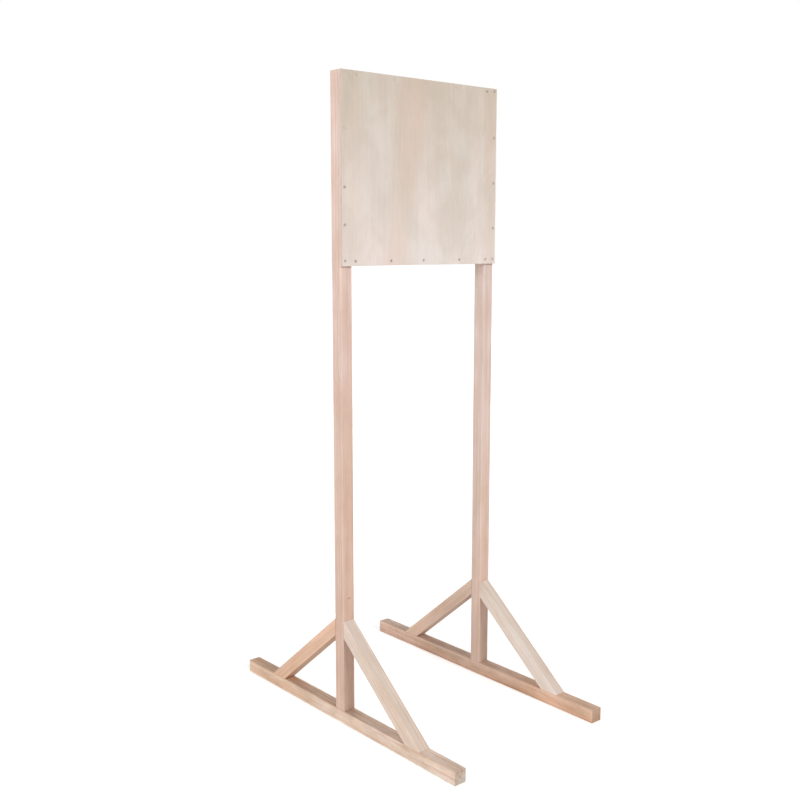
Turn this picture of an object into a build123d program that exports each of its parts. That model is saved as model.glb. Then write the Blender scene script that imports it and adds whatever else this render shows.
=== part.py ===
"""A free-standing wooden target stand.

Two tall batten posts stand on long batten feet. A brace runs down from each post to its foot, at the front and
at the back. Two rails join the posts behind a plywood board, which is nailed on their front faces.

Frame: +Z is up, X runs across the stand and the board faces -Y. The origin is on the floor, midway between the
posts. All dimensions are in millimetres.
"""

import math
import os

from build123d import *

# The batten that every piece of the frame is cut from
STOCK = 38.0  # side of its square section
EASED_EDGE = 1.0  # radius that planing leaves on its long edges

# The stand
OVERALL_HEIGHT = 1800.0
OVERALL_WIDTH = 576.0
FOOT_LENGTH = 950.0
BRACE_RISE = 266.0  # from the foot's top to where a brace's upper edge meets the post
BRACE_RUN = 320.0  # from the post's face to where a brace's upper edge meets the foot

# The board
BOARD_HEIGHT = 508.0
BOARD_THICKNESS = 9.0

# Nails that hold the board: flat heads, punched just below its face
BOARD_NAIL = {"length": 30.0, "shank": 2.2, "head": 5.4, "head_height": 1.0}
BOARD_NAIL_SINK = 0.3
EDGE_ROW_INSET = 9.5  # from the board's side edge to the nails along a post
BOTTOM_ROW_INSET = 13.0  # from the board's lower edge to the nails along the bottom rail
TOP_ROW_INSET = 11.0  # from the board's upper edge to the nails along the top rail
LEFT_ROW_DROPS = (8.0, 150.0, 301.0, 399.0, 494.0)  # down from the board's upper edge
RIGHT_ROW_DROPS = (8.0, 141.0, 272.0, 403.0, 494.0)
BOTTOM_ROW_PLACES = (45.0, 170.0, 290.0, 429.0, 536.0)  # in from the board's left edge
TOP_ROW_PLACES = (52.0, 180.0, 296.0, 412.0, 536.0)

# Nails through a post into a rail's end
RAIL_NAIL = {"length": 65.0, "shank": 2.8, "head": 4.2, "head_height": 1.2}
RAIL_NAIL_SINK = 0.8
RAIL_NAIL_SPREAD = 18.0  # between the two nails of one joint
RAIL_NAIL_SETBACK = 8.0  # behind the post's middle, clear of the board nails' points

# Nails at both ends of a brace, driven square to its sloping upper face
BRACE_NAIL = {"length": 50.0, "shank": 2.8, "head": 4.2, "head_height": 1.2}
BRACE_NAIL_SINK = 0.6
BRACE_NAIL_SPREAD = 18.0  # between the two nails of one joint
UPPER_NAIL_REACH = 15.0  # from the post's face to the upper nails' heads
LOWER_NAIL_REACH = 22.0  # from the brace's outer point to the lower nails' heads

# Screws from beneath a foot into its post
SCREW_LENGTH = 80.0
SCREW_SHANK = 4.5
SCREW_HEAD = 8.6
SCREW_HEAD_HEIGHT = 4.0
SCREW_SINK = 1.5
SCREW_SPREAD = 18.0
RECESS_WIDTH = 1.1
RECESS_SPAN = 4.6
RECESS_DEPTH = 2.0

# Nails and screws alike
POINT_SHARE = 1.6  # a point's length over the shank's diameter
TIP_SHARE = 0.1  # the radius of a point's blunt tip over the shank's diameter
POCKET_SHARE = 2.0  # how far a hole is cut above a sunk head, over the sink, so that it comes out of the wood

# Worked out from the above
POST_OFFSET = (OVERALL_WIDTH - STOCK) / 2  # from the middle of the stand to a post's centre line
RAIL_LENGTH = OVERALL_WIDTH - 2 * STOCK
BOARD_FACE_Y = -STOCK / 2 - BOARD_THICKNESS
BOARD_BOTTOM = OVERALL_HEIGHT - BOARD_HEIGHT
BRACE_ANGLE = math.atan2(BRACE_RISE, BRACE_RUN)
SIDES = {"left": -1, "right": 1}
TURNS = {"front": 180, "back": 0}  # about Z, from a brace that runs towards +Y


def batten(length):
    """A batten standing on the origin, with its four long edges eased."""
    bar = Box(STOCK, STOCK, length, align=(Align.CENTER, Align.CENTER, Align.MIN))
    return fillet(bar.edges().filter_by(Axis.Z), EASED_EDGE)


def brace():
    """A brace towards +Y from the back face of a post on the Z axis, cut to lie flat on post and foot."""
    on_post = STOCK / math.cos(BRACE_ANGLE)
    on_foot = STOCK / math.sin(BRACE_ANGLE)
    face = STOCK / 2
    top = (face, STOCK + BRACE_RISE)
    under_top = (face, STOCK + BRACE_RISE - on_post)
    heel = (face + BRACE_RUN - on_foot, STOCK)
    toe = (face + BRACE_RUN, STOCK)
    outline = Plane.YZ * make_face(Polyline(top, under_top, heel, toe, close=True))
    bar = extrude(outline, amount=STOCK / 2, both=True)
    run = Axis((0, 0, 0), (0, math.cos(BRACE_ANGLE), -math.sin(BRACE_ANGLE)))
    long_edges = bar.edges().filter_by(run)
    return fillet(long_edges, EASED_EDGE)


def nail(length, shank, head, head_height):
    """A nail whose head's top is at the origin and whose point is towards -Z."""
    point = POINT_SHARE * shank
    hang = (Align.CENTER, Align.CENTER, Align.MAX)
    cap = Cylinder(head / 2, head_height, align=hang)
    shaft = Pos(0, 0, -head_height) * Cylinder(shank / 2, length - head_height - point, align=hang)
    tip = Pos(0, 0, point - length) * Cone(TIP_SHARE * shank, shank / 2, point, align=hang)
    return cap + shaft + tip


def nail_hole(size, sink):
    """What a nail of this size takes out of the wood, with a clear pocket above its sunk head."""
    rise = (Align.CENTER, Align.CENTER, Align.MIN)
    return nail(**size) + Cylinder(size["head"] / 2, POCKET_SHARE * sink, align=rise)


def screw_body():
    """A countersunk screw without its recess, its head's top at the origin and its point towards -Z."""
    point = POINT_SHARE * SCREW_SHANK
    hang = (Align.CENTER, Align.CENTER, Align.MAX)
    head = Cone(SCREW_SHANK / 2, SCREW_HEAD / 2, SCREW_HEAD_HEIGHT, align=hang)
    shaft_length = SCREW_LENGTH - SCREW_HEAD_HEIGHT - point
    shaft = Pos(0, 0, -SCREW_HEAD_HEIGHT) * Cylinder(SCREW_SHANK / 2, shaft_length, align=hang)
    tip = Pos(0, 0, point - SCREW_LENGTH) * Cone(TIP_SHARE * SCREW_SHANK, SCREW_SHANK / 2, point, align=hang)
    return head + shaft + tip


def screw():
    """The screw with a cross recess in its head."""
    hang = (Align.CENTER, Align.CENTER, Align.MAX)
    slot = Box(RECESS_SPAN, RECESS_WIDTH, RECESS_DEPTH, align=hang)
    return screw_body() - slot - Rot(0, 0, 90) * slot


def screw_hole():
    """What a screw takes out of the wood, open below its sunk head."""
    rise = (Align.CENTER, Align.CENTER, Align.MIN)
    return screw_body() + Cylinder(SCREW_HEAD / 2, POCKET_SHARE * SCREW_SINK, align=rise)


parts = {}


def drive(group, places, fastener, hole, woods):
    """Puts a fastener at each place, in one named group, and cuts its hole in the pieces that it enters."""
    parts[group] = Compound(children=[place * fastener for place in places])
    for wood in woods:
        for place in places:
            parts[wood] = parts[wood] - place * hole


# The two side frames
for side, sign in SIDES.items():
    middle = Pos(sign * POST_OFFSET, 0, 0)
    parts[f"{side}_post"] = middle * Pos(0, 0, STOCK) * batten(OVERALL_HEIGHT - STOCK)
    lying = Pos(0, -FOOT_LENGTH / 2, STOCK / 2) * Rot(-90, 0, 0)
    parts[f"{side}_foot"] = middle * lying * batten(FOOT_LENGTH)
    for end, turn in TURNS.items():
        parts[f"{side}_{end}_brace"] = middle * Rot(0, 0, turn) * brace()

# The rails between the posts and the board on their faces
for rail, centre in {"bottom": BOARD_BOTTOM + STOCK / 2, "top": OVERALL_HEIGHT - STOCK / 2}.items():
    across = Pos(-RAIL_LENGTH / 2, 0, centre) * Rot(0, 90, 0)
    parts[f"{rail}_rail"] = across * batten(RAIL_LENGTH)
lower_back_edge = Pos(0, -STOCK / 2, BOARD_BOTTOM)
board = Box(OVERALL_WIDTH, BOARD_THICKNESS, BOARD_HEIGHT, align=(Align.CENTER, Align.MAX, Align.MIN))
parts["target_board"] = lower_back_edge * board


def on_board(x, z):
    """Where a board nail's head lies, x from the middle of the board and z up from the floor."""
    return Pos(x, BOARD_FACE_Y + BOARD_NAIL_SINK, z) * Rot(90, 0, 0)


# The board's nails, by the piece that they enter
edge_row = OVERALL_WIDTH / 2 - EDGE_ROW_INSET
left_edge = -OVERALL_WIDTH / 2
board_rows = {
    "left_post": [on_board(-edge_row, OVERALL_HEIGHT - drop) for drop in LEFT_ROW_DROPS],
    "right_post": [on_board(edge_row, OVERALL_HEIGHT - drop) for drop in RIGHT_ROW_DROPS],
    "bottom_rail": [on_board(left_edge + x, BOARD_BOTTOM + BOTTOM_ROW_INSET) for x in BOTTOM_ROW_PLACES],
    "top_rail": [on_board(left_edge + x, OVERALL_HEIGHT - TOP_ROW_INSET) for x in TOP_ROW_PLACES],
}
board_nail = nail(**BOARD_NAIL)
board_nail_hole = nail_hole(BOARD_NAIL, BOARD_NAIL_SINK)
for backing, places in board_rows.items():
    drive(f"{backing}_board_nails", places, board_nail, board_nail_hole, ["target_board", backing])

# Two nails through each post into each rail's end
rail_nail = nail(**RAIL_NAIL)
rail_nail_hole = nail_hole(RAIL_NAIL, RAIL_NAIL_SINK)
for side, sign in SIDES.items():
    inward = Rot(0, 90 * sign, 0)
    outer_face = sign * (OVERALL_WIDTH / 2 - RAIL_NAIL_SINK)
    places = []
    for centre in (BOARD_BOTTOM + STOCK / 2, OVERALL_HEIGHT - STOCK / 2):
        for offset in (-RAIL_NAIL_SPREAD / 2, RAIL_NAIL_SPREAD / 2):
            places.append(Pos(outer_face, RAIL_NAIL_SETBACK, centre + offset) * inward)
    woods = [f"{side}_post", "bottom_rail", "top_rail"]
    drive(f"{side}_rail_nails", places, rail_nail, rail_nail_hole, woods)

# Two nails at a brace's upper end, into the post, and two at its lower end, into the foot
brace_nail = nail(**BRACE_NAIL)
brace_nail_hole = nail_hole(BRACE_NAIL, BRACE_NAIL_SINK)
square_to_slope = Rot(-math.degrees(BRACE_ANGLE), 0, 0) * Pos(0, 0, -BRACE_NAIL_SINK)
for side, sign in SIDES.items():
    for end, turn in TURNS.items():
        on_brace = Pos(sign * POST_OFFSET, 0, 0) * Rot(0, 0, turn)
        places = []
        for reach in (UPPER_NAIL_REACH, BRACE_RUN - LOWER_NAIL_REACH):
            height = STOCK + BRACE_RISE - reach * math.tan(BRACE_ANGLE)
            for offset in (-BRACE_NAIL_SPREAD / 2, BRACE_NAIL_SPREAD / 2):
                places.append(on_brace * Pos(offset, STOCK / 2 + reach, height) * square_to_slope)
        woods = [f"{side}_{end}_brace", f"{side}_post", f"{side}_foot"]
        drive(f"{side}_{end}_brace_nails", places, brace_nail, brace_nail_hole, woods)

# Two screws up through each foot into the end of its post
for side, sign in SIDES.items():
    places = []
    for offset in (-SCREW_SPREAD / 2, SCREW_SPREAD / 2):
        places.append(Pos(sign * POST_OFFSET, offset, SCREW_SINK) * Rot(180, 0, 0))
    drive(f"{side}_post_screws", places, screw(), screw_hole(), [f"{side}_foot", f"{side}_post"])

os.makedirs("parts", exist_ok=True)
for node, shape in parts.items():
    export_step(shape, f"parts/{node}.step")
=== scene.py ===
"""Looks of a free-standing wooden target stand: planed battens, a nailed plywood board, nails and screws.

Every piece is placed from the frame. Lengths are in metres, or in millimetres where a comment says so.
"""

import random
from collections import namedtuple
from functools import reduce
from math import copysign, cos, hypot, pi, radians, sin, tau

import bmesh
import bpy
import numpy as np
from mathutils import Color, Matrix, Vector, noise
from mathutils.geometry import delaunay_2d_cdt


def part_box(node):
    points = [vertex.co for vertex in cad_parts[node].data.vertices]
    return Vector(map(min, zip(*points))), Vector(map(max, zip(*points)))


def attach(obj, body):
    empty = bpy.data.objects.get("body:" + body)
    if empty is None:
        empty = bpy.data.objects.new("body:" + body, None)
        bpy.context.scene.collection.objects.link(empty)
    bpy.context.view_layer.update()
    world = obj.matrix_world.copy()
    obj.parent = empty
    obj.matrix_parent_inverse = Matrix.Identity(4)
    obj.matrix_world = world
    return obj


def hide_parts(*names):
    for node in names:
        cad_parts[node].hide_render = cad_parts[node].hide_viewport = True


MM = 0.001
BODY = "root"

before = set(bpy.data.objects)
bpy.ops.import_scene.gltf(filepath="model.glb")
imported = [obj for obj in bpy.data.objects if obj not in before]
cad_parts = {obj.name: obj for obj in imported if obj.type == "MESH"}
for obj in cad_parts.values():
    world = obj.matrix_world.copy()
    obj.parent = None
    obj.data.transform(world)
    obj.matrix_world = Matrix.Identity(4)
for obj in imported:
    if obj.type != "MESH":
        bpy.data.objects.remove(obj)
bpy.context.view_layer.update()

# ---- camera

CAMERA_PLACE = (-2.0019, -2.2620, 1.3568)
CAMERA_PITCH = 8.562  # degrees below the horizon
CAMERA_AZIMUTH = -40.603
LENS_MM = 47.30
SENSOR_MM = 36.0


def new_object(name, data):
    thing = bpy.data.objects.new(name, data)
    bpy.context.scene.collection.objects.link(thing)
    return thing


def add_camera():
    data = bpy.data.cameras.new("camera")
    data.lens = LENS_MM
    data.sensor_width = SENSOR_MM
    camera = new_object("camera", data)
    camera.location = CAMERA_PLACE
    camera.rotation_euler = (radians(90 - CAMERA_PITCH), 0, radians(CAMERA_AZIMUTH))
    bpy.context.scene.camera = camera


add_camera()

# ---- where the fasteners are

FASTENER_REACH = 9 * MM  # across any one fastener, and less than lies between two


def brace_slope(node):
    """The unit vector down a brace from post to foot, and the outward normal of its upper face."""
    low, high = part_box(node)
    outward = copysign(1, (low.y + high.y) / 2)
    run = Vector((0, outward * (high.y - low.y), low.z - high.z)).normalized()
    normal = Vector((0, outward * -run.z, abs(run.y)))
    return run, normal


def fastener_places(node, direction):
    """Each fastener in a node, as (top, direction, head radius, length).

    top is the middle of its head's upper face, and direction points from there to its point.
    """
    points = np.array([v.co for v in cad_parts[node].data.vertices])
    along = points @ np.array(direction)
    flat = points - np.outer(along, np.array(direction))
    found = []
    unread = np.ones(len(points), bool)
    while unread.any():
        first = flat[unread][0]
        near = unread & (np.linalg.norm(flat - first, axis=1) < FASTENER_REACH)
        centre = (flat[near].min(0) + flat[near].max(0)) / 2
        radius = np.linalg.norm(flat[near] - centre, axis=1).max()
        start, end = along[near].min(), along[near].max()
        found.append((Vector(centre) + direction * start, direction, radius, end - start))
        unread &= ~near
    return found


BRACES = [f"{side}_{end}_brace" for side in ("left", "right") for end in ("front", "back")]
BACKINGS = ("left_post", "right_post", "top_rail", "bottom_rail")
directions = {f"{backing}_board_nails": Vector((0, 1, 0)) for backing in BACKINGS}
directions["left_rail_nails"] = Vector((1, 0, 0))
directions["right_rail_nails"] = Vector((-1, 0, 0))
directions |= {f"{brace}_nails": -brace_slope(brace)[1] for brace in BRACES}
directions |= {f"{side}_post_screws": Vector((0, 0, 1)) for side in ("left", "right")}
fasteners = {node: fastener_places(node, direction) for node, direction in directions.items()}
all_heads = [place for places in fasteners.values() for place in places]

BOARD_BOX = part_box("target_board")
FRESH_REACH = (0.85, 0.45)  # across and down the board from its upper left corner, as shares of its size


def is_fresh(spot):
    """Whether a nail here, towards that corner, is still bright and has marked the wood little."""
    low, high = BOARD_BOX
    across = (spot.x - low.x) / (high.x - low.x)
    down = (high.z - spot.z) / (high.z - low.z)
    return across / FRESH_REACH[0] + down / FRESH_REACH[1] < 1


# ---- meshes of wood

ARRIS = 2.4  # mm, the width of the strip at each long edge in which the rounding lies
ARRIS_STEPS = 4  # spans of the rounding's arc
STATION = 11.0  # mm, between cross-sections
COLUMNS = 6  # spans across a long face
END_RIM = 0.6  # mm, the small bevel that handling leaves round a sawn end
COARSE = 4.0  # mm, the mesh size of a sawn end
FINE = 0.7  # mm, the same where the end shows

TOUCH = 0.01  # mm: a point nearer to a plane or line than this is on it
FACING = 0.9  # the least cosine between a fastener and the face that it was driven into
DEEPEST_HEAD = 2.5  # mm, below a face
HEAD_CLEARANCE = 0.06  # mm, round a head in its pocket
POCKET_SIDES = 20  # points round a nail's pocket
DIMPLE_RINGS = (0.05, 0.35, 0.9, 1.8)  # mm, out from the pocket's edge
DIMPLE_REACH = 3.0  # mm, the same, to where the dimple round a struck head has faded
POCKET_REACH = 4.2  # mm, out from a head: other mesh points keep clear of it
OPEN_POCKET = 5.0  # mm, how far a pocket in a batten goes in below the top of its head
BOARD_POCKET = 1.25  # mm, the same in the board
BATTEN_DIMPLE = 0.28  # mm, how deep the dimple is
BOARD_DIMPLE = 0.34  # mm, the same in the board
FILLED_HEAD = 2.5  # mm: a nail in a batten with a smaller head radius is set deep and filled over
FILLER_DIP = 0.14  # mm, how far the filler has sunk
FILLER_EDGE = 0.25  # mm, how far the filler spreads past the head
BRUISE_REACH = 1.2  # how far the bruised wood round a head reaches, over the head's radius
FRESH_BRUISE = 0.3  # a fresh nail's mark, over an old one's

Pocket = namedtuple("Pocket", "normal across centre radius depth is_open")


class Patchwork:
    """Collects flat patches of triangles, in millimetres, and joins them into one mesh."""

    def __init__(self):
        self.points = []
        self.triangles = []
        self.slots = []

    def add(self, outline, inner, place, slot):
        """Fills a convex outline, with inner points, and lays it down with place(a, b) -> (x, y, z)."""
        flat = [Vector(p) for p in outline] + [Vector(p) for p in inner]
        loop = [(i, (i + 1) % len(outline)) for i in range(len(outline))]
        filled = delaunay_2d_cdt(flat, loop, [], 0, 1e-5)
        base = len(self.points)
        self.points += [place(p.x, p.y) for p in filled[0]]
        for face in filled[2]:
            self.triangles.append([base + i for i in face])
            self.slots.append(slot)

    def strip(self, rows, slot):
        """Joins each row of points to the next with quads."""
        base = len(self.points)
        width = len(rows[0])
        for row in rows:
            self.points += row
        for i in range(len(rows) - 1):
            for j in range(width - 1):
                a = base + i * width + j
                self.triangles.append([a, a + 1, a + width + 1, a + width])
                self.slots.append(slot)

    def mesh(self, name):
        """One closed mesh, still in millimetres."""
        data = bpy.data.meshes.new(name)
        data.from_pydata(self.points, [], self.triangles)
        data.polygons.foreach_set("material_index", self.slots)
        form = bmesh.new()
        form.from_mesh(data)
        bmesh.ops.remove_doubles(form, verts=form.verts, dist=0.002)
        bmesh.ops.dissolve_degenerate(form, edges=form.edges, dist=0.001)
        bmesh.ops.recalc_face_normals(form, faces=form.faces)
        form.to_mesh(data)
        form.free()
        return data


def ring(centre, radius, count):
    """Points round a circle."""
    angles = [tau * i / count for i in range(count)]
    return [(centre[0] + radius * cos(a), centre[1] + radius * sin(a)) for a in angles]


def pocket_points(centre, head):
    """Points that carry a nail's pocket and the dimple that the hammer leaves round it."""
    edge = head + HEAD_CLEARANCE
    found = [centre]
    for radius in (0.5 * edge, edge, *(edge + step for step in DIMPLE_RINGS), edge + DIMPLE_REACH):
        found += ring(centre, radius, POCKET_SIDES)
    return found


def pocket_depth(distance, head, depth, dimple):
    """How far below the surface the wood lies at this distance from a nail's axis."""
    edge = head + HEAD_CLEARANCE
    if distance < edge + TOUCH:
        return depth
    fade = max(0.0, 1 - (distance - edge) / DIMPLE_REACH)
    return dimple * fade * fade


def make_wobble(seed):
    """A function of (x, y, z): noise from -1 to 1 that is the seed's own."""
    draw = random.Random(seed)
    shift = Vector([draw.uniform(-50, 50) for _ in range(3)])
    return lambda x, y, z: noise.noise(Vector((x, y, z)) + shift)


def even_steps(length, step):
    """Places from 0 to the length, about a step apart."""
    count = round(length / step)
    return [length * i / count for i in range(count + 1)]


def quarter(x, y, turns):
    """A point after so many quarter turns round Z."""
    for _ in range(turns):
        x, y = -y, x
    return x, y


def clear_of(point, places):
    """Whether a grid point lies outside every (centre, radius)."""
    return all(hypot(point[0] - c[0], point[1] - c[1]) > r for c, r in places)


def finish_mesh(data, place, bruises, fillers=()):
    """Keeps each point's place in the uncut timber for the grain, then puts the mesh in its place.

    bruises list (centre, radius, strength) and fillers list (centre, radius), in millimetres.
    """
    count = len(data.vertices)
    local = np.empty(count * 3, np.float32)
    data.vertices.foreach_get("co", local)
    local = local.reshape(-1, 3)
    grain = data.attributes.new("grain", "FLOAT_VECTOR", "POINT")
    grain.data.foreach_set("vector", (local * MM).ravel())

    def distance(centre):
        return np.linalg.norm(local - np.array(centre, np.float32), axis=1)

    bruise = np.zeros(count, np.float32)
    for centre, radius, strength in bruises:
        fade = np.clip(1 - (distance(centre) - radius) / (BRUISE_REACH * radius), 0, 1)
        bruise = np.maximum(bruise, strength * fade)
    filler = np.zeros(count, np.float32)
    for centre, radius in fillers:
        filler = np.maximum(filler, np.clip((radius + FILLER_EDGE - distance(centre)) / 0.3, 0, 1))
    for mask, values in (("bruise", bruise), ("filler", filler)):
        data.attributes.new(mask, "FLOAT", "POINT").data.foreach_set("value", values)
    data.transform(place @ Matrix.Scale(MM, 4))
    data.shade_smooth()
    data.set_sharp_from_angle(angle=radians(32))
    data.update()


def heads_in(place, is_on):
    """The fasteners with their heads on a piece, as (head's centre, direction, radius) in millimetres."""
    back = place.inverted()
    turn = back.to_3x3()
    found = []
    for top, direction, radius, _ in all_heads:
        spot = (back @ top) / MM
        if is_on(spot):
            found.append((spot, turn @ direction, radius / MM))
    return found


class Batten:
    """The shape of a square batten along its own Z, in millimetres.

    low_end and high_end are (height, slope): the end's cut lies at height + slope * y.
    """

    def __init__(self, low_end, high_end, half, seed):
        self.low_end = low_end
        self.high_end = high_end
        self.half = half
        self.flat = half - ARRIS
        self.length = high_end[0] - low_end[0]
        self.stations = max(4, round(self.length / STATION))
        self.columns = [self.flat * (2 * i / COLUMNS - 1) for i in range(COLUMNS + 1)]
        self.wobble = make_wobble(seed)

    def height(self, y, share):
        """The height at y of the section that lies at this share of the length."""
        low = self.low_end[0] + self.low_end[1] * y
        high = self.high_end[0] + self.high_end[1] * y
        return low + (high - low) * share

    def holds(self, spot):
        """Whether a head here lies on one of the long faces."""
        past = spot.z - self.low_end[0]
        return max(abs(spot.x), abs(spot.y)) < self.half + 1 and -self.half < past < self.length + self.half

    def pockets_on(self, heads, normal, across):
        """The pockets of the fasteners that were driven into one long face."""
        found = []
        for spot, direction, radius in heads:
            below = self.half - spot.dot(normal)
            if direction.dot(normal) < -FACING and abs(below) < DEEPEST_HEAD:
                is_open = radius > FILLED_HEAD
                depth = below + OPEN_POCKET if is_open else FILLER_DIP
                found.append(Pocket(normal, across, (spot.dot(across), spot.z), radius, depth, is_open))
        return found

    def corner_row(self, corner, share):
        """Points round one long edge, from face to face, as (x, y) before its quarter turns."""
        wander = self.wobble(corner * 7.3, share * self.length / 70, 0)
        ding = max(0.0, self.wobble(corner * 3.1, share * self.length / 13, 5) - 0.38)
        r = min(ARRIS, 1.15 + 0.45 * wander + 4.0 * ding)
        row = [(self.half, self.flat)]
        for i in range(ARRIS_STEPS + 1):
            a = i / ARRIS_STEPS * pi / 2
            row.append((self.half - r + r * cos(a), self.half - r + r * sin(a)))
        return row + [(self.flat, self.half)]

    def add_face(self, work, normal, across, pockets):
        """One long face between its rounded edges."""

        def lay(s, w):
            at = normal * self.half + across * s
            return (at.x, at.y, self.height(at.y, w / self.length))

        def unlay(s, z):
            y = (normal * self.half + across * s).y
            low, high = self.height(y, 0), self.height(y, 1)
            return (s, (z - low) / (high - low) * self.length)

        rows = [self.length * k / self.stations for k in range(1, self.stations)]
        outline = [(s, 0.0) for s in self.columns]
        outline += [(self.flat, w) for w in rows]
        outline += [(s, self.length) for s in reversed(self.columns)]
        outline += [(-self.flat, w) for w in reversed(rows)]
        holes = [(unlay(*p.centre), p.radius + POCKET_REACH) for p in pockets]
        inner = [(s, w) for w in rows for s in self.columns[1:-1:2] if clear_of((s, w), holes)]
        for pocket in pockets:
            for point in pocket_points(pocket.centre, pocket.radius):
                s, w = unlay(*point)
                if abs(s) < self.flat - 0.1 and 0.2 < w < self.length - 0.2:
                    inner.append((s, w))
        work.add(outline, inner, lay, 0)

    def add_long_edge(self, work, corner):
        strip = []
        for k in range(self.stations + 1):
            share = k / self.stations
            row = [quarter(x, y, corner) for x, y in self.corner_row(corner, share)]
            strip.append([(x, y, self.height(y, share)) for x, y in row])
        work.strip(strip, 0)

    def add_sawn_end(self, work, share, grid):
        loop = []
        for turns in range(4):
            loop += [quarter(self.half, s, turns) for s in self.columns[1:-1]]
            loop += [quarter(*p, turns) for p in self.corner_row(turns, share)]
        inset = (self.half - END_RIM) / self.half
        inner = [(x * inset, y * inset) for x, y in loop]
        reach = self.half - END_RIM - 0.45 * grid
        count = round(2 * self.half / grid)
        steps = [reach * (2 * i / count - 1) for i in range(count + 1)]
        inner += [(x, y) for x in steps for y in steps if abs(x) + abs(y) < 2 * reach - 1.2]
        work.add(loop, inner, lambda x, y: (x, y, self.height(y, share)), 1)

    def hollow(self, axis, value, other, z):
        """How far planing and drying have drawn the faces across an axis in, at this value along it."""
        near = (abs(value) / self.half) ** 6
        if near < 0.05:
            return 0.0
        side = 3 * axis + copysign(1, value)
        broad = self.wobble(other / 45, z / 110, side)
        fine = self.wobble(other / 9, z / 26, side)
        return copysign(near * (0.075 + 0.05 * broad + 0.025 * fine), value)

    def end_wear(self, x, y, end, on_rim, checks):
        """How far in a sawn end lies at (x, y): its worn rim, its tooth marks and its drying checks."""
        worn = 0.35 * (1.3 + self.wobble(x / 8, y / 8, end)) if on_rim else 0.0
        sway = 2 * self.wobble(x / 12, y / 12, end)
        teeth = 0.06 * (1 + sin(1.9 * (x + 0.25 * y) + sway))
        crack = 0.0
        for angle, reach, width in checks:
            ahead = x * cos(angle) + y * sin(angle)
            aside = -x * sin(angle) + y * cos(angle)
            aside += 0.8 * self.wobble(ahead / 5, angle, 0)
            span = width * min(1.0, max(0.0, (reach - ahead) / reach))
            if -1 < ahead < reach and abs(aside) < span:
                crack = max(crack, 2.2 * (1 - abs(aside) / span))
        return worn + teeth + crack

    def wear(self, data, pockets, checks):
        """Moves the mesh's points in by all that use and drying have done to the wood."""
        on_long_face = {i for face in data.polygons if face.material_index == 0 for i in face.vertices}
        for vertex in data.vertices:
            x, y, z = vertex.co
            flat = Vector((x, y, 0))
            vertex.co.x -= self.hollow(0, x, y, z)
            vertex.co.y -= self.hollow(1, y, x, z)
            for p in pockets:
                if flat.dot(p.normal) > self.half - TOUCH:
                    far = hypot(flat.dot(p.across) - p.centre[0], z - p.centre[1])
                    if far < p.radius + POCKET_REACH:
                        vertex.co -= p.normal * pocket_depth(far, p.radius, p.depth, BATTEN_DIMPLE)
            for share, inward in ((0, 1), (1, -1)):
                if abs(z - self.height(y, share)) < TOUCH:
                    on_rim = vertex.index in on_long_face
                    vertex.co.z += inward * self.end_wear(x, y, share, on_rim, checks[share])


def batten(name, place, low_end, high_end, half, seed, cap_grid, checks):
    """A batten's finished mesh.

    cap_grid has the mesh size at each end, and checks a list of each end's drying cracks, as
    (angle, length, width).
    """
    shape = Batten(low_end, high_end, half, seed)
    work = Patchwork()
    heads = heads_in(place, shape.holds)
    pockets = []
    for turns in range(4):
        normal = Vector((*quarter(1, 0, turns), 0))
        across = Vector((*quarter(0, 1, turns), 0))
        on_face = shape.pockets_on(heads, normal, across)
        shape.add_face(work, normal, across, on_face)
        shape.add_long_edge(work, turns)
        pockets += on_face
    for share, grid in enumerate(cap_grid):
        shape.add_sawn_end(work, share, grid)
    data = work.mesh(name)
    shape.wear(data, pockets, checks)

    bruises = []
    fillers = []
    for pocket in pockets:
        at = pocket.normal * half + pocket.across * pocket.centre[0]
        centre = (at.x, at.y, pocket.centre[1])
        if pocket.is_open:
            bruises.append((centre, pocket.radius, 1.0))
        else:
            fillers.append((centre, pocket.radius))
    finish_mesh(data, place, bruises, fillers)
    return data


def add_piece(data, name, materials, nodes):
    """Puts a finished mesh in the scene in place of its CAD node."""
    piece = new_object(name, data)
    for material in materials:
        data.materials.append(material)
    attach(piece, BODY)
    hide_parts(*nodes)


# ---- the plywood board

PLIES = (0.9, 2.4, 2.4, 2.4, 0.9)  # mm, from the face to the back; every other ply runs across
PLY_SHARES = (0.06, 0.35, 0.65, 0.94, 1.0)  # where the edge's mesh cuts through each ply
BOARD_GRID = 14.0  # mm, the mesh size of its faces
BOARD_EDGE_STEP = 4.0  # mm, the same along its edges
BOARD_RIM = 2.4  # mm, the strip at its edges that joins the two sizes


def edge_cut(x, y, z, on_end, glue, wobble):
    """How far in the board's edge lies here: plies stand proud of glue, and cross plies are cut back."""
    ply = sum(z < g - TOUCH for g in glue)
    near_glue = min(abs(z - g) for g in glue[:-1])
    is_cross = ply % 2 == (0 if on_end else 1)
    cut = 0.05 + 0.16 * max(0.0, 1 - near_glue / 0.25) + (0.12 if is_cross else 0.0)
    cut += (0.14 if is_cross else 0.07) * (1 + wobble(x / 3, y / 3, 0.9 * ply))
    if z > -TOUCH or z < glue[-1] + TOUCH:
        chip = max(0.0, wobble(x / 6, y / 6, z) - 0.30)
        cut += 0.15 + min(1.2, 3.2 * chip)
    return cut


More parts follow.
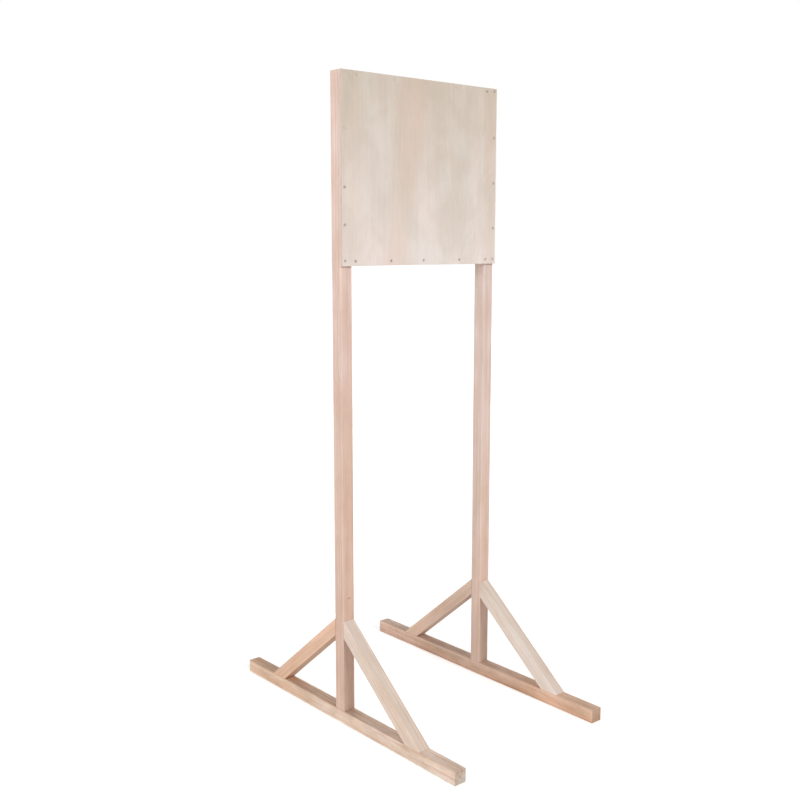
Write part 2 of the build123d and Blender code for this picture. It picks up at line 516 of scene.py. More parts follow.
def board_mesh(name, place, width, height, seed):
    """The board in its own millimetres.

    x runs across from its left edge, y up from its lower one and z out of its face, which is at z = 0.
    """
    wobble = make_wobble(seed)
    work = Patchwork()
    heads = heads_in(place, lambda p: -DEEPEST_HEAD < p.z < 1 and 0 < p.x < width and 0 < p.y < height)
    heads = [head for head in heads if head[1].z < -FACING]

    # The face and the back
    xs = even_steps(width, BOARD_EDGE_STEP)
    ys = even_steps(height, BOARD_EDGE_STEP)
    loop = [(x, 0.0) for x in xs[:-1]] + [(width, y) for y in ys[:-1]]
    loop += [(x, height) for x in reversed(xs[1:])] + [(0.0, y) for y in reversed(ys[1:])]
    right, upper = width - BOARD_RIM, height - BOARD_RIM
    inset = [(min(max(x, BOARD_RIM), right), min(max(y, BOARD_RIM), upper)) for x, y in loop]
    inset = list(dict.fromkeys(inset))
    holes = [((spot.x, spot.y), radius + POCKET_REACH) for spot, _, radius in heads]
    columns, rows = even_steps(width, BOARD_GRID)[1:-1], even_steps(height, BOARD_GRID)[1:-1]
    grid = [(x, y) for x in columns for y in rows if clear_of((x, y), holes)]
    front = inset + grid
    for spot, _, radius in heads:
        front += [p for p in pocket_points((spot.x, spot.y), radius) if BOARD_RIM < p[0] < right]
    front = [p for p in front if BOARD_RIM - TOUCH < p[1] < upper + TOUCH]
    work.add(loop, front, lambda x, y: (x, y, 0.0), 0)
    work.add(loop, inset + grid, lambda x, y: (x, y, -sum(PLIES)), 0)

    # The edges
    levels = [0.0]
    glue = []
    top = 0.0
    for ply in PLIES:
        levels += [top - ply * share for share in PLY_SHARES]
        top -= ply
        glue.append(top)
    work.strip([[(x, y, level) for x, y in loop + loop[:1]] for level in levels], 1)
    data = work.mesh(name)

    for vertex in data.vertices:
        x, y, z = vertex.co
        on_side = min(x, width - x) < TOUCH
        on_end = min(y, height - y) < TOUCH
        cut = edge_cut(x, y, z, on_end, glue, wobble) if on_side or on_end else 0.0
        if on_side:
            vertex.co.x += copysign(cut, width / 2 - x)
        if on_end:
            vertex.co.y += copysign(cut, height / 2 - y)
        if z > -TOUCH:
            broad = wobble(x / 60, y / 130, 3)
            fine = wobble(x / 11, y / 40, 8)
            vertex.co.z -= 0.085 + 0.06 * broad + 0.025 * fine
            for spot, _, radius in heads:
                far = hypot(x - spot.x, y - spot.y)
                if far < radius + POCKET_REACH:
                    vertex.co.z -= pocket_depth(far, radius, BOARD_POCKET - spot.z, BOARD_DIMPLE)
    bruises = []
    for spot, _, radius in heads:
        strength = FRESH_BRUISE if is_fresh(place @ (spot * MM)) else 1.0
        bruises.append(((spot.x, spot.y, 0.0), radius, strength))
    finish_mesh(data, place, bruises)
    return data


# ---- steel

NAIL_SIDES = 24
BOARD_NAIL_SHARE = 0.41  # shank's width over head's width
FRAME_NAIL_SHARE = 0.66  # the same
GRIP_RINGS = 5
GRIP_START = 3.0 * MM  # below the head's top
GRIP_PITCH = 1.1 * MM
WAFFLE_SIZE = 0.16 * MM
WAFFLE_DEPTH = 0.05 * MM

SCREW_SIDES = 48
SCREW_SHARE = 0.52  # thread's width over head's width
CORE_SHARE = 0.72  # core's width over thread's width
PLAIN_SHARE = 0.38  # how much of a screw's length has no thread
THREAD_PITCH = 2.6 * MM
THREAD_SIDES = 16
RECESS_SHARE = 0.62  # of the head's radius
RECESS_DEPTH = 2.4 * MM
RECESS_ARM = 0.62 * MM  # half an arm's width at its mouth


def join_rows(form, rows, is_closed):
    """Joins each row of vertices to the next with quads."""
    for one, two in zip(rows, rows[1:]):
        for i in range(len(one) if is_closed else len(one) - 1):
            j = (i + 1) % len(one)
            form.faces.new((one[i], one[j], two[j], two[i]))


def lathe(form, profile, sides, matrix, shape):
    """Turns (radius, height) points round Z. shape(angle, radius, height) may change the last two."""
    loops = []
    for radius, height in profile:
        loop = []
        for i in range(sides):
            a = tau * i / sides
            r, h = shape(a, radius, height)
            loop.append(form.verts.new(matrix @ Vector((r * cos(a), r * sin(a), h))))
        loops.append(loop)
    join_rows(form, loops, True)
    form.faces.new(loops[0][::-1])
    form.faces.new(loops[-1])


def upright(top, direction):
    """The frame of a fastener whose head's top is here, its own Z pointing out of the head."""
    return Matrix.Translation(top) @ (-direction).to_track_quat("Z", "Y").to_matrix().to_4x4()


def add_point(form, matrix, shank, length, taper):
    """Puts a four-sided point on the face that the lathe made last."""
    form.faces.ensure_lookup_table()
    end_face = form.faces[-1]
    rim = list(end_face.verts)
    form.faces.remove(end_face)
    tip = form.verts.new(matrix @ Vector((0, 0, -length)))
    inner = []
    for vertex in rim:
        corner = matrix.inverted() @ vertex.co
        corner *= 0.62 * shank / max(abs(corner.x), abs(corner.y))
        corner.z = 0.45 * taper - length
        inner.append(form.verts.new(matrix @ corner))
    join_rows(form, [rim, inner], True)
    for i, vertex in enumerate(inner):
        form.faces.new((inner[i - 1], vertex, tip))


def nails_mesh(name, places, shank_share, seed):
    """A group of wire nails: struck flat heads with a waffle face, grip rings and a four-sided point."""
    draw = random.Random(seed)
    form = bmesh.new()
    tarnish = form.verts.layers.float.new("tarnish")
    for top, direction, head, length in places:
        first = len(form.verts)
        shank = head * shank_share
        turn = Matrix.Rotation(draw.uniform(0, tau), 4, "Z")
        tilt = Matrix.Rotation(radians(draw.uniform(0, 2.5)), 4, "X")
        matrix = upright(top, direction) @ turn @ tilt
        dent = draw.uniform(0, tau)

        def struck(angle, r, h, head=head, dent=dent):
            """The head's top: a waffle of small blocks, flattened towards the side that the hammer met."""
            if h > -0.3 * MM:
                u = r * cos(angle) / WAFFLE_SIZE
                v = r * sin(angle) / WAFFLE_SIZE
                flattened = (1 + cos(angle - dent)) * (r / head)
                h += WAFFLE_DEPTH * (sin(u) * sin(v) - flattened)
            return r * (1 + 0.012 * sin(3 * angle + dent)), h

        profile = [(0.93 * head * i / 9, -0.06 * MM * (i / 9) ** 2 - 0.02 * MM) for i in range(1, 10)]
        profile += [(head * 0.985, -0.22 * MM), (head, -0.45 * MM), (head * 0.99, -0.80 * MM)]
        profile += [(head * 0.90, -0.98 * MM), (shank * 1.25, -1.12 * MM), (shank, -1.9 * MM)]
        for i in range(GRIP_RINGS):
            at = -GRIP_START - GRIP_PITCH * i
            profile += [(shank, at + 0.3 * MM), (shank * 0.90, at), (shank, at - 0.3 * MM)]
        taper = 3.4 * shank
        profile += [(shank, -length + taper + 0.4 * MM), (shank, -length + taper)]
        lathe(form, profile, NAIL_SIDES, matrix, struck)
        add_point(form, matrix, shank, length, taper)

        dullness = draw.uniform(0.0, 0.15) if is_fresh(top) else draw.uniform(0.5, 1.0)
        form.verts.ensure_lookup_table()
        for vertex in form.verts[first:]:
            vertex[tarnish] = dullness
    return steel_mesh(form, name)


def steel_mesh(form, name):
    bmesh.ops.recalc_face_normals(form, faces=form.faces)
    data = bpy.data.meshes.new(name)
    form.to_mesh(data)
    form.free()
    data.shade_smooth()
    data.set_sharp_from_angle(angle=radians(38))
    return data


def screws_mesh(name, places):
    """Countersunk screws with a cross recess and a rolled thread."""
    form = bmesh.new()
    for top, direction, head, length in places:
        shank = head * SCREW_SHARE
        core = CORE_SHARE * shank
        matrix = upright(top, direction) @ Matrix.Rotation(0.5, 4, "Z")

        def recess(angle, r, h, head=head):
            """The head's top: a tapering cross pressed into it."""
            rim = RECESS_SHARE * head
            if h > -0.02 * MM and r < rim:
                arm = r * min(abs(cos(angle)), abs(sin(angle)))
                sink = max(0.0, min(1.0, (RECESS_ARM - arm) / (0.22 * MM)))
                h -= RECESS_DEPTH * sink * (1 - r / rim) ** 0.5
            return r, h

        thread_top = -PLAIN_SHARE * length
        profile = [(head * (0.04 + 0.06 * i), 0.0) for i in range(10)]
        profile += [(RECESS_SHARE * head, 0.0), (0.93 * head, 0.0), (head, -0.15 * MM), (head, -0.45 * MM)]
        profile += [(shank, -4.0 * MM), (shank, thread_top)]
        lathe(form, profile, SCREW_SIDES, matrix, recess)

        turns = int((length + thread_top) / THREAD_PITCH) - 1
        helix = []
        for i in range(turns * THREAD_SIDES + 1):
            a = tau * i / THREAD_SIDES
            crest = thread_top - THREAD_PITCH * (0.5 + i / THREAD_SIDES)
            row = []
            for r, share in ((core, 0.5), (core, 0.14), (shank, 0.0), (core, -0.14), (core, -0.5)):
                h = crest + share * THREAD_PITCH
                r *= min(1.0, max(0.04, (length + h) / (0.16 * length)))
                row.append(form.verts.new(matrix @ Vector((r * cos(a), r * sin(a), h))))
            helix.append(row)
        join_rows(form, helix, False)
    bmesh.ops.remove_doubles(form, verts=form.verts, dist=1e-5)
    bmesh.ops.holes_fill(form, edges=[edge for edge in form.edges if edge.is_boundary], sides=0)
    return steel_mesh(form, name)


# ---- materials


class Nodes:
    """Short calls that build one material's nodes, from numbers, tuples and other nodes' outputs."""

    def __init__(self, name):
        self.material = bpy.data.materials.new(name)
        self.material.use_nodes = True
        self.tree = self.material.node_tree
        self.shader = self.tree.nodes["Principled BSDF"]

    def feed(self, socket, value):
        """Links a node's output, sets anything else, and lets a socket be for None."""
        if isinstance(value, bpy.types.NodeSocket):
            self.tree.links.new(value, socket)
        elif value is not None:
            socket.default_value = value

    def add(self, kind, values=(), **settings):
        """A new node with these settings, and these values for its first inputs."""
        node = self.tree.nodes.new(kind)
        for key, value in settings.items():
            setattr(node, key, value)
        for socket, value in zip(node.inputs, values):
            self.feed(socket, value)
        return node

    def attribute(self, name, output="Fac"):
        return self.add("ShaderNodeAttribute", attribute_name=name).outputs[output]

    def math(self, operation, a, b=None, c=None, clamp=False):
        return self.add("ShaderNodeMath", (a, b, c), operation=operation, use_clamp=clamp).outputs[0]

    def times(self, a, b):
        return self.math("MULTIPLY", a, b)

    def times_plus(self, a, b, c):
        return self.math("MULTIPLY_ADD", a, b, c)

    def less(self, a, b):
        return self.math("SUBTRACT", a, b)

    def vector(self, operation, a, b=None):
        node = self.add("ShaderNodeVectorMath", (a, b), operation=operation)
        return node.outputs["Value" if operation == "LENGTH" else "Vector"]

    def split(self, vector):
        return self.add("ShaderNodeSeparateXYZ", [vector]).outputs

    def noise(self, vector, detail=2.0, roughness=0.5, distortion=0.0):
        """Noise of unit scale, from 0 to 1 about 0.5: the vector carries the scale."""
        node = self.add("ShaderNodeTexNoise", [vector])
        node.inputs["Scale"].default_value = 1.0
        node.inputs["Detail"].default_value = detail
        node.inputs["Roughness"].default_value = roughness
        node.inputs["Distortion"].default_value = distortion
        return node.outputs["Fac"]

    def lay_grain(self, offset, axis):
        """Reads each point's place in the timber. offset moves the noise, and axis is the grain's."""
        place = self.attribute("grain", "Vector")
        self.shifted = self.vector("ADD", place, offset)
        self.axis = axis
        return place, self.split(place)

    def grain(self, across, along, *settings):
        """Noise with so many features per metre across the grain and along it."""
        scale = [across] * 3
        scale[self.axis] = along
        return self.noise(self.vector("MULTIPLY", self.shifted, scale), *settings)

    def remap(self, value, low, high, to_low=0.0, to_high=1.0, kind="LINEAR"):
        values = (value, low, high, to_low, to_high)
        return self.add("ShaderNodeMapRange", values, interpolation_type=kind).outputs[0]

    def ease(self, value, low, high, to_low=0.0, to_high=1.0):
        return self.remap(value, low, high, to_low, to_high, "SMOOTHSTEP")

    def mix(self, factor, a, b, blend="MIX"):
        node = self.add("ShaderNodeMix", [factor], data_type="RGBA", blend_type=blend, clamp_factor=True)
        colours = [s for s in node.inputs if s.type == "RGBA"]
        self.feed(colours[0], a)
        self.feed(colours[1], b)
        return [s for s in node.outputs if s.type == "RGBA"][0]

    def tint(self, colour, share, at_none, at_full):
        """A colour times a tint that goes from at_none to at_full as the share goes from 0 to 1."""
        return self.mix(1.0, colour, self.mix(share, (*at_none, 1.0), (*at_full, 1.0)), "MULTIPLY")

    def tint_over(self, colour, factor, low, high, at_low, at_high):
        return self.tint(colour, self.ease(factor, low, high), at_low, at_high)

    def shaded(self, colour, *shades):
        """A colour times plain numbers."""
        grey = self.add("ShaderNodeCombineXYZ", [reduce(self.times, shades)] * 3)
        return self.mix(1.0, colour, grey.outputs[0], "MULTIPLY")

    def bump(self, height, distance, strength=0.8):
        node = self.add("ShaderNodeBump")
        node.inputs["Strength"].default_value = strength
        node.inputs["Distance"].default_value = distance
        self.feed(node.inputs["Height"], height)
        return node.outputs[0]

    def surface(self, colour, roughness, normal=None, specular=None, metallic=None):
        """Feeds the shader and returns the material."""
        names = ("Base Color", "Roughness", "Normal", "Specular IOR Level", "Metallic")
        for name, value in zip(names, (colour, roughness, normal, specular, metallic)):
            self.feed(self.shader.inputs[name], value)
        return self.material


def linear(*on_screen):
    """A colour given as it looks on screen, from 0 to 255, as the shader takes it."""
    return (*Color([value / 255 for value in on_screen]).from_srgb_to_scene_linear(), 1.0)


RING_SPACING = 3.4 * MM
CHATTER_PITCH = 4.2 * MM  # between the planer's cutter marks
KNOT_TONE = linear(132, 92, 68)
BRUISE_TONE = linear(120, 98, 84)
GRIME_TONE = linear(150, 122, 100)
BOARD_BRUISE_TONE = linear(140, 122, 108)
GLUE_TONE = linear(150, 122, 104)
# The veneer's colour at the bottom and the top of the board; the paler bottom is painted light
VENEER_LOW_WITH_PAINTED_LIGHT = linear(233, 221, 213)
VENEER_HIGH = linear(213, 200, 186)
# Across the board as a share of its width, then half width, lean from upright and strength
HEART_STRIPS = [(0.33, 0.075, 0.14, 0.8), (0.96, 0.045, 0.0, 0.6), (0.06, 0.060, 0.0, 0.35)]
PALE_PLY = linear(232, 216, 204)
CROSS_PLY = linear(216, 196, 180)


def swell_round(n, place, knot, radius):
    """The rings' radius, swollen round a knot, and the knot's mask."""
    x, y, z, size, flatness = knot
    away = n.vector("MULTIPLY", n.vector("SUBTRACT", place, (x, y, z)), (1.0, 1.0, flatness))
    unevenness = n.times(n.less(n.grain(130, 130), 0.5), 0.9 * size)
    far = n.math("ADD", n.vector("LENGTH", away), unevenness)
    swell = n.ease(far, 0.4 * size, 3.5 * size, 1.0, 0.0)
    return n.times_plus(swell, 1.2 * size, radius), n.ease(far, 0.55 * size, 1.15 * size, 1.0, 0.0)


def batten_material(name, tones, seed, length, pith, heart=(0, 0), knot=None, end=False, dull=0, streaks=0):
    """Planed softwood. Its rings lie round a pith at (x, y) in the batten's own section, in metres.

    tones are its colours at its low and high end. Heartwood lies towards heart, (x, y): that side is darker
    and oranger, which on the left foot's top is also painted shade. knot is (x, y, z, radius, flatness). end
    makes the sawn end.
    dull adds handling dirt, and streaks adds streaks of heartwood, each from 0 to 1.
    """
    n = Nodes(name)
    draw = random.Random(seed)
    own = [draw.uniform(-9, 9) for _ in range(3)]
    place, (x, y, z) = n.lay_grain(own, 2)

    # Rings, wandering slowly along the length and swelling round a knot
    wander = n.less(n.grain(7, 1.7), 0.5)
    ripple = n.less(n.grain(60, 6), 0.5)
    dx = n.times_plus(z, draw.uniform(-0.012, 0.012), n.less(x, pith[0]))
    dy = n.less(y, pith[1])
    radius = n.math("SQRT", n.times_plus(dx, dx, n.times(dy, dy)))
    radius = n.times_plus(wander, 0.016, radius)
    radius = n.times_plus(ripple, 0.0009, radius)
    if knot:
        radius, knot_mask = swell_round(n, place, knot, radius)
    phase = n.math("FRACT", n.math("DIVIDE", radius, RING_SPACING))
    late = n.times(n.math("POWER", phase, 2.6), n.ease(phase, 0.90, 1.0, 1.0, 0.0))
    late = n.times(late, n.remap(n.grain(40, 1.5, 1), 0.3, 0.7, 0.35, 1.0))

    # Fibres, flecks and slow changes of colour
    fibre = n.grain(900, 14, 4, 0.62)
    streak = n.grain(150, 2.4, 3, 0.55)
    band = n.grain(30, 1.3)
    blush = n.grain(55, 3.5)
    cloud = n.grain(16, 7, 3, 0.55)
    fleck = n.remap(n.grain(1400, 60, 1), 0.64, 0.74)

    drift = n.less(n.grain(3, 2.5), 0.5)
    share = n.times_plus(drift, 0.5, n.remap(z, 0.0, length))
    tone = n.mix(n.ease(share, 0.0, 1.0), *tones)
    # Darker and oranger towards heart: heartwood, and painted shade on that side, as on the left foot's top
    toward = n.times_plus(x, heart[0], n.times(y, heart[1]))
    toward = n.times_plus(n.less(band, 0.5), 2.0, toward)
    tone = n.tint_over(tone, toward, -0.7, 0.7, (1.02, 1.05, 1.07), (0.985, 0.925, 0.88))
    tone = n.tint_over(tone, blush, 0.36, 0.64, (0.985, 0.99, 0.97), (1.015, 1.01, 1.03))
    tone = n.tint_over(tone, cloud, 0.28, 0.72, (0.945, 0.91, 0.87), (1.05, 1.07, 1.09))
    # Heartwood streaks, thickest towards heart, where they add to the painted shade
    if streaks:
        heartwood = n.ease(n.grain(95, 4.5, 3, 0.6), 0.46, 0.64)
        heartwood = n.times(heartwood, n.ease(toward, -0.6, 0.6, 0.3, 1.0))
        tone = n.tint(tone, n.times(heartwood, streaks), (1.03, 1.035, 1.04), (0.86, 0.76, 0.67))
    ring_share = n.times(late, 0.80 if end else 0.72)
    colour = n.tint(tone, ring_share, (1.04, 1.045, 1.05), (0.78, 0.64, 0.56))
    fibre_shade = n.remap(fibre, 0.25, 0.75, 0.93, 1.07)
    streak_shade = n.remap(streak, 0.25, 0.75, 0.90, 1.10)
    colour = n.shaded(colour, fibre_shade, streak_shade, n.times_plus(fleck, -0.10, 1.02))
    if knot:
        colour = n.mix(n.times(knot_mask, 0.45), colour, KNOT_TONE)
    if end:
        colour = n.shaded(colour, n.remap(n.grain(1500, 1500), 0.35, 0.7, 0.80, 1.08))
    colour = n.mix(n.times(n.attribute("bruise"), 0.55), colour, BRUISE_TONE)
    filler = n.times(n.attribute("filler"), 0.75)
    colour = n.mix(filler, colour, n.mix(1.0, tone, (1.01, 0.985, 0.95, 1.0), "MULTIPLY"))
    if dull:
        grime = n.ease(n.grain(22, 9, 4, 0.7), 0.35, 0.72, 0.0, dull)
        colour = n.mix(grime, colour, GRIME_TONE)

    rough = n.times_plus(late, -0.10, n.remap(fibre, 0.2, 0.8, 0.72, 0.60))
    height = n.times_plus(late, 0.45, n.times(fibre, 0.55))
    height = n.times_plus(fleck, -0.35, height)
    chatter = n.math("SINE", n.times(z, tau / CHATTER_PITCH))
    height = n.times_plus(chatter, 0.0 if end else 0.06, height)
    return n.surface(colour, rough, n.bump(height, (0.30 if end else 0.16) * MM), specular=0.35)


def plywood_face_material(name, seed, width, height):
    """Rotary-cut veneer, its grain upright: soft clouds and streaks, a faint figure and short pores."""
    n = Nodes(name)
    draw = random.Random(seed)
    own = [draw.uniform(-9, 9) for _ in range(3)]
    x, y, _ = n.lay_grain(own, 1)[1]
    sweep = n.grain(4.2, 0.85, 2, 0.45, 0.6)
    ripple = n.times_plus(n.grain(70, 5), 0.018, sweep)
    figure = n.math("FRACT", n.times(ripple, 22.0))
    falls = n.ease(figure, 0.80, 1.0, 1.0, 0.0)
    line = n.times(n.math("POWER", figure, 2.2), falls)
    line = n.times(line, n.remap(n.grain(9, 2), 0.40, 0.70, 0.10, 0.8))
    broad = n.grain(16, 2.0, 2, 0.5, 0.3)
    patch = n.grain(11, 7, 3, 0.55, 0.4)
    streak = n.grain(160, 5.5, 4, 0.62)
    fibre = n.grain(1300, 24, 3, 0.6)
    pore = n.remap(n.grain(1100, 45, 1), 0.66, 0.74)
    wander = n.less(n.grain(7, 3.5, 3), 0.5)

    # Paler towards the bottom, which is painted light, with darker heartwood strips that wander a little
    share = n.times_plus(wander, 0.5, n.remap(y, 0.0, height))
    colour = n.mix(n.remap(share, 0.08, 0.95), VENEER_LOW_WITH_PAINTED_LIGHT, VENEER_HIGH)
    for centre, reach, lean, depth in HEART_STRIPS:
        core = n.times_plus(wander, 0.10, n.times_plus(y, lean, centre * width))
        away = n.math("ABSOLUTE", n.less(x, core))
        strip = n.ease(away, 0.25 * reach, reach, depth, 0.0)
        strip = n.times(strip, n.remap(patch, 0.35, 0.60, 0.25, 1.2))
        colour = n.tint(colour, strip, (1.0, 1.0, 1.0), (0.95, 0.88, 0.83))
    colour = n.tint_over(colour, broad, 0.34, 0.66, (0.97, 0.985, 0.975), (1.03, 1.015, 1.02))
    colour = n.tint_over(colour, patch, 0.32, 0.68, (0.96, 0.94, 0.92), (1.045, 1.05, 1.065))
    colour = n.tint(colour, n.times(line, 0.30), (1.0, 1.0, 1.0), (0.80, 0.70, 0.62))
    shades = [n.remap(grain, 0.25, 0.75, 0.965, 1.035) for grain in (streak, fibre)]
    colour = n.shaded(colour, *shades, n.times_plus(pore, -0.13, 1.01))
    colour = n.mix(n.times(n.attribute("bruise"), 0.35), colour, BOARD_BRUISE_TONE)
    rough = n.remap(streak, 0.2, 0.8, 0.66, 0.54)
    relief = n.times_plus(pore, -0.5, n.times_plus(line, 0.3, n.times(fibre, 0.5)))
    return n.surface(colour, rough, n.bump(relief, 0.10 * MM), specular=0.4)


def plywood_edge_material(name, seed):
    """The sawn edge: pale and darker plies in turn, with thin glue lines between them."""
    n = Nodes(name)
    depth = n.lay_grain((0.37 * seed, 1.9, 0.7), 2)[1][2]
    long_fibre = n.grain(90, 900, 3, 0.6)
    pores = n.grain(1300, 1300, 2, 0.6)
    waver = n.times(n.less(n.grain(30, 30), 0.5), 0.3 * MM)
    level = n.less(waver, depth)
    glue_lines = [sum(PLIES[:i]) * MM for i in range(1, len(PLIES))]
    colour = PALE_PLY
    for i, top in enumerate(glue_lines):
        below = n.remap(level, top - 0.06 * MM, top + 0.06 * MM)
        colour = n.mix(below, colour, CROSS_PLY if i % 2 == 0 else PALE_PLY)
    for top in glue_lines:
        away = n.math("ABSOLUTE", n.less(level, top))
        colour = n.mix(n.remap(away, 0.05 * MM, 0.16 * MM, 0.5, 0.0), colour, GLUE_TONE)
    fibre_shade = n.remap(long_fibre, 0.25, 0.75, 0.88, 1.08)
    colour = n.shaded(colour, fibre_shade, n.remap(pores, 0.3, 0.7, 0.92, 1.05))
    rough = n.remap(pores, 0.2, 0.8, 0.85, 0.7)
    return n.surface(colour, rough, n.bump(n.math("ADD", long_fibre, pores), 0.25 * MM))


def steel_material(name, colour, dull_colour, roughness, seed):
    """Wire-drawn steel with handling marks, duller where its mesh says that it has tarnished."""
    n = Nodes(name)
    place = n.add("ShaderNodeTexCoord").outputs["Object"]
    own = n.vector("ADD", place, (0.31 * seed, 0.7, 0.2))
    mottle = n.noise(n.vector("MULTIPLY", own, [700] * 3), 3, 0.6)
    scratch = n.noise(n.vector("MULTIPLY", own, (2600, 900, 2600)), 2, 0.6)
    unevenness = n.remap(mottle, 0.3, 0.7, -0.25, 0.25)
    tarnish = n.math("ADD", n.attribute("tarnish"), unevenness, clamp=True)
    colour = n.mix(tarnish, colour, dull_colour)
    rough = n.remap(mottle, 0.3, 0.7, roughness, roughness + 0.22)
    return n.surface(colour, rough, n.bump(scratch, 0.04 * MM, 0.6), metallic=1.0)


# ---- the pieces

# Each piece's colour on screen at its low and high end; a brace's low end is the one on the post
TONES = {
    "left_post": ((210, 177, 158), (228, 201, 190)),
    # The right post's lower tone is raised a little: painted light that lifts the shade under its front
    # brace
    "right_post": ((215, 188, 173), (222, 201, 192)),
    "left_foot": ((229, 211, 197), (222, 195, 172)),
    "right_foot": ((222, 186, 161), (213, 183, 165)),
    "left_front_brace": ((216, 200, 188), (218, 199, 185)),
    "right_front_brace": ((216, 200, 187), (222, 208, 198)),
    "left_back_brace": ((221, 187, 164), (218, 186, 163)),
    "right_back_brace": ((209, 182, 163), (217, 188, 169)),
    "top_rail": ((226, 202, 178), (220, 192, 170)),
    "bottom_rail": ((218, 192, 168), (226, 200, 178)),
}
END_GRAIN = 0.75  # a sawn end drinks in the light
NAIL_BRIGHT = (0.76, 0.68, 0.59, 1.0)
NAIL_DULL = (0.40, 0.36, 0.31, 1.0)
SCREW_BRIGHT = (0.66, 0.56, 0.33, 1.0)
SCREW_DULL = (0.42, 0.35, 0.22, 1.0)


def timber(node, seed, length, **details):
    """The long-grain and the end-grain material of one piece."""
    tones = [linear(*tone) for tone in TONES[node]]
    darker = [tuple(END_GRAIN * c for c in tone[:3]) + (1.0,) for tone in tones]
    long_grain = batten_material(node + "_grain", tones, seed, length, **details)
    details.pop("knot", None)
    details.pop("dull", None)
    return [long_grain, batten_material(node + "_end", darker, seed, length, end=True, **details)]


def add_batten(node, seed, place, half, ends, length, cap_grid=(COARSE, COARSE), checks=((), ()), **details):
    """Adds one batten. ends are the Batten's low_end and high_end."""
    name = node + "_timber"
    data = batten(name, place, *ends, half / MM, seed, cap_grid, checks)
    add_piece(data, name, timber(node, seed, length, **details), [node])


TURN_TO = {"X": Matrix.Rotation(pi / 2, 4, "Y"), "Y": Matrix.Rotation(-pi / 2, 4, "X"), "Z": Matrix()}


def square_batten(node, axis, seed, **details):
    """A batten with square ends along X, Y or Z."""
    low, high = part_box(node)
    i = "XYZ".index(axis)
    start = (low + high) / 2
    start[i] = low[i]
    length = high[i] - low[i]
    half = (high[i - 1] - low[i - 1]) / 2
    place = Matrix.Translation(start) @ TURN_TO[axis]
    add_batten(node, seed, place, half, ((0.0, 0.0), (length / MM, 0.0)), length, **details)


def brace_batten(node, seed, **details):
    """A sloping batten with both ends cut to lie flat, one on the post and one on the foot."""
    low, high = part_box(node)
    run, normal = brace_slope(node)
    near_y, far_y = sorted((low.y, high.y), key=abs)
    half = (high.x - low.x) / 2
    top = Vector(((low.x + high.x) / 2, near_y, high.z))
    toe = Vector((top.x, far_y, low.z))
    origin = top - normal * half
    place = Matrix((normal.cross(run), normal, run)).transposed().to_4x4()
    place.translation = origin
    lean = normal.y / run.y
    ends = ((half / MM * lean, -lean), ((toe - origin).z / run.z / MM, -normal.z / run.z))
    add_batten(node, seed, place, half, ends, (toe - top).length, **details)


POST_GRID = (COARSE, FINE)  # a post shows its upper end
FOOT_GRID = (FINE, FINE)
square_batten("left_post", "Z", 11, cap_grid=POST_GRID, pith=(0.055, -0.030), heart=(14, 8),
              checks=((), [(0.6, 15, 0.8)]), knot=(0.002, -0.019, 0.330, 0.0075, 2.8))
square_batten("right_post", "Z", 12, cap_grid=POST_GRID, pith=(-0.050, -0.045), heart=(10, 0),
              checks=((), [(2.4, 13, 0.7)]))
# The left foot's heart darkens its top face: heartwood, and painted shade from the post and braces above it
square_batten("left_foot", "Y", 21, cap_grid=FOOT_GRID, pith=(0.020, 0.034), heart=(0, -30), dull=0.35,
              streaks=1, checks=([(1.0, 14, 0.9), (4.4, 9, 0.6)], [(3.9, 16, 0.8)]))
square_batten("right_foot", "Y", 22, cap_grid=FOOT_GRID, pith=(-0.016, 0.030), heart=(0, 28), dull=0.35,
              streaks=1, checks=([(2.2, 12, 0.8)], [(0.4, 15, 0.8)]))
for seed, node in enumerate(BRACES, 31):
    brace_batten(node, seed, pith=(0.03 if seed % 2 else -0.04, -0.05), streaks=0.5)
square_batten("top_rail", "X", 41, pith=(0.04, 0.03))
square_batten("bottom_rail", "X", 42, pith=(-0.03, 0.05))


def add_board():
    low, high = BOARD_BOX
    width, height = high.x - low.x, high.z - low.z
    place = Matrix.Translation(low) @ Matrix.Rotation(pi / 2, 4, "X")
    data = board_mesh("target_board_plywood", place, width / MM, height / MM, 51)
    face = plywood_face_material("plywood_face", 51, width, height)
    edge = plywood_edge_material("plywood_edge", 52)
    add_piece(data, "target_board_plywood", [face, edge], ["target_board"])


def add_fasteners():
    nail_steel = steel_material("nail_steel", NAIL_BRIGHT, NAIL_DULL, 0.50, 1)
    screw_steel = steel_material("screw_steel", SCREW_BRIGHT, SCREW_DULL, 0.30, 2)
    for seed, (node, places) in enumerate(fasteners.items(), 61):
        name = node + "_steel"
        if node.endswith("screws"):
            add_piece(screws_mesh(name, places), name, [screw_steel], [node])
        else:
            share = BOARD_NAIL_SHARE if "board" in node else FRAME_NAIL_SHARE
            add_piece(nails_mesh(name, places, share, seed), name, [nail_steel], [node])


add_board()
add_fasteners()

# ---- floor and light

FLOOR_REACH = 60.0
FLOOR_TONE = 0.88
FLOOR_GLOW = 0.45  # seen by the camera only, and makes the floor as white as the backdrop
FLOOR_DROP = 0.5 * MM  # below the soles, so that no two faces coincide
SKY = 0.36  # the even light on the object
BACKDROP = 1.0  # the same, as the camera sees it
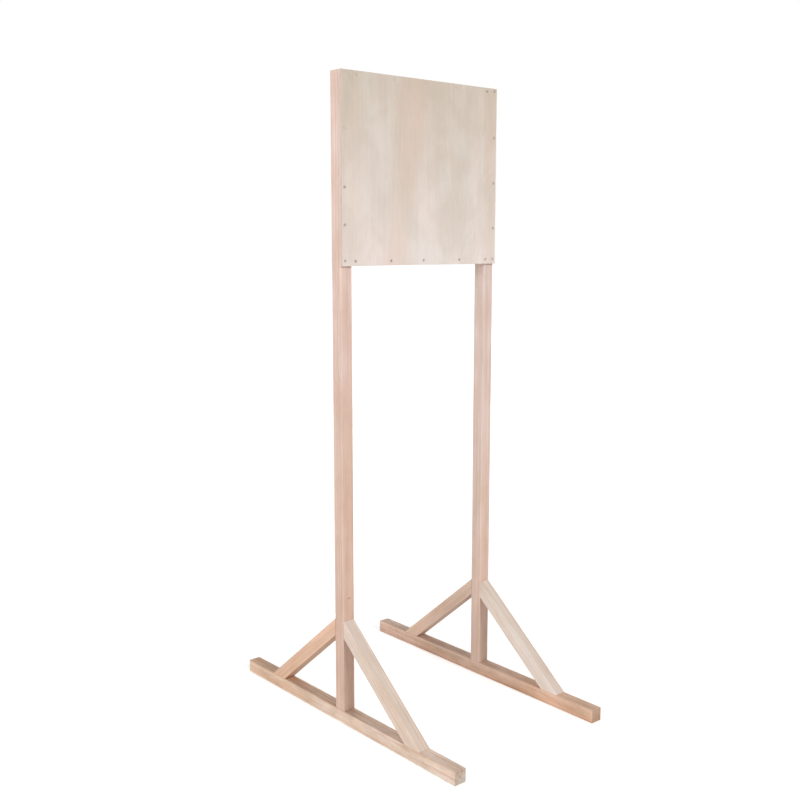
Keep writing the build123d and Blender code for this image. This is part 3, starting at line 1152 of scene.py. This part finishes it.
# Name, azimuth, elevation, spread, strength
LAMPS = [("key", -2, 28, 17, 0.43), ("side", -80, 12, 30, 0.50), ("back", 160, 42, 30, 0.19)]


def add_floor():
    """A plain white floor."""
    data = bpy.data.meshes.new("floor")
    data.from_pydata([(*point, 0) for point in ring((0, 0), FLOOR_REACH, 96)], [], [range(96)])
    floor = new_object("floor", data)
    floor.location.z = -FLOOR_DROP
    n = Nodes("floor")
    n.shader.inputs["Emission Color"].default_value = (1.0, 1.0, 1.0, 1.0)
    seen = n.add("ShaderNodeLightPath").outputs["Is Camera Ray"]
    n.feed(n.shader.inputs["Emission Strength"], n.times(seen, FLOOR_GLOW))
    data.materials.append(n.surface((FLOOR_TONE, FLOOR_TONE, FLOOR_TONE, 1.0), 0.9, specular=0.0))


def add_lamp(name, azimuth, elevation, spread, strength):
    """A far soft light, spread degrees across, from in front at azimuth 0 and from the right at 90.

    Its strength is what a white surface square to it shows, 1 being full white.
    """
    a, e = radians(azimuth), radians(elevation)
    out = Vector((sin(a) * cos(e), -cos(a) * cos(e), sin(e)))
    data = bpy.data.lights.new(name, "SUN")
    data.angle = radians(spread)
    data.energy = strength * pi
    lamp = new_object(name, data)
    lamp.rotation_mode = "QUATERNION"
    lamp.rotation_quaternion = (-out).to_track_quat("-Z", "Y")


def add_sky():
    """Even light from all round, which the camera sees as a brighter, white backdrop."""
    world = bpy.data.worlds.new("backdrop")
    bpy.context.scene.world = world
    world.use_nodes = True
    tree = world.node_tree
    sky = tree.nodes["Background"]
    sky.inputs["Color"].default_value = (1.0, 1.0, 1.0, 1.0)
    path = tree.nodes.new("ShaderNodeLightPath")
    strength = tree.nodes.new("ShaderNodeMapRange")
    strength.inputs["To Min"].default_value = SKY
    strength.inputs["To Max"].default_value = BACKDROP
    tree.links.new(path.outputs["Is Camera Ray"], strength.inputs["Value"])
    tree.links.new(strength.outputs["Result"], sky.inputs["Strength"])


add_floor()
for lamp in LAMPS:
    add_lamp(*lamp)
add_sky()
bpy.context.scene.view_settings.view_transform = "Standard"
